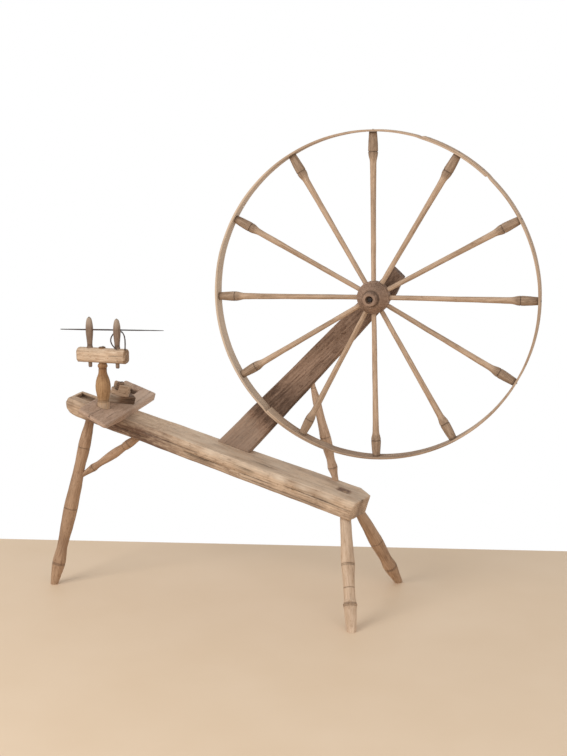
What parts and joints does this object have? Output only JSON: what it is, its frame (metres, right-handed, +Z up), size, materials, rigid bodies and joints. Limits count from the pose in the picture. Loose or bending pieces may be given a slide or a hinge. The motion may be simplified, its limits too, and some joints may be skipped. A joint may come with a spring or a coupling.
{
  "type": "great wheel",
  "caption": "Walking spinning wheel: a large spoked drive wheel on a leaning post, a sloping three-legged bench, and a spindle head clamped near the raised end.",
  "frame": {"origin": "on the floor under the middle of the whole object's bounding box", "axes": "+X along the bench towards the wheel, +Y away from the spinner, +Z up; the wheel's axle lies along Y"},
  "size_m": [1.7632, 0.5786, 1.6732],
  "materials": {
    "weathered_bench": "weathered, hand hewn",
    "brown_legs": "worn, turned",
    "pale_leg": "worn, turned",
    "dark_wedges": "dry",
    "dark_post": "weathered, stained",
    "dark_brace": "worn, turned",
    "iron": "dark wrought iron",
    "grey_hub": "worn, turned",
    "rim_ash": "bent, dry",
    "spoke_wood": "worn, turned",
    "clamp_wood": "worn",
    "slab_wood": "weathered",
    "warm_maple": "worn, turned",
    "pale_block": "worn smooth",
    "dark_maidens": "worn, turned",
    "thong_leather": "dark, dry"
  },
  "bodies": {
    "stand": {"bench": "weathered_bench", "leg_left": "brown_legs", "leg_front_right": "pale_leg", "leg_wedge": "dark_wedges", "leg_rear_right": "brown_legs", "stretcher": "brown_legs", "wheel_post": "dark_post", "post_pegs": "dark_wedges", "post_brace": "dark_brace", "axle": "iron", "axle_key": "iron"},
    "wheel": {"hub": "grey_hub", "spoke_01": "spoke_wood", "spoke_02": "spoke_wood", "spoke_03": "spoke_wood", "spoke_04": "spoke_wood", "spoke_05": "spoke_wood", "spoke_06": "spoke_wood", "spoke_07": "spoke_wood", "spoke_08": "spoke_wood", "spoke_09": "spoke_wood", "spoke_10": "spoke_wood", "spoke_11": "spoke_wood", "spoke_12": "spoke_wood", "rim_half_left": "rim_ash", "rim_half_right": "rim_ash", "rim_nails": "iron", "lap_nails": "iron"},
    "clamp": {"clamp_screw": "clamp_wood", "clamp_bar": "clamp_wood"},
    "clamp_nut": {"clamp_nut": "clamp_wood"},
    "tension": {"tension_slab": "slab_wood"},
    "head": {"spindle_post": "warm_maple", "head_block": "pale_block", "post_wedge": "dark_wedges", "maiden_left": "dark_maidens", "maiden_right": "dark_maidens", "leather_thong": "thong_leather", "thong_nail": "iron"},
    "spindle": {"spindle": "iron"}
  },
  "joints": [
    {"name": "wheel_spin", "type": "hinge", "parent": "stand", "child": "wheel", "pos_m": [0.32035, -0.0184, 1.112], "axis": [0, 1, 0], "continuous": true},
    {"name": "tension_slide", "type": "slide", "parent": "stand", "child": "clamp", "axis": [0.9586, 0, -0.2849], "range_m": [-0.09, 0.03]},
    {"name": "tension_swivel", "type": "hinge", "parent": "clamp", "child": "tension", "pos_m": [-0.64595, -0.0064, 0.6697], "axis": [0.2849, 0, 0.9586], "range_deg": [-8, 8]},
    {"name": "clamp_turn", "type": "hinge", "parent": "clamp", "child": "clamp_nut", "pos_m": [-0.62886, -0.0064, 0.72722], "axis": [0.2849, 0, 0.9586], "range_deg": [0, 270]},
    {"name": "head_swivel", "type": "hinge", "parent": "tension", "child": "head", "pos_m": [-0.63915, -0.1184, 0.689], "axis": [0, 0, 1], "continuous": true},
    {"name": "spindle_spin", "type": "hinge", "parent": "head", "child": "spindle", "pos_m": [-0.63365, -0.1184, 0.974], "axis": [0.9996, 0, 0.0297], "continuous": true}
  ]
}
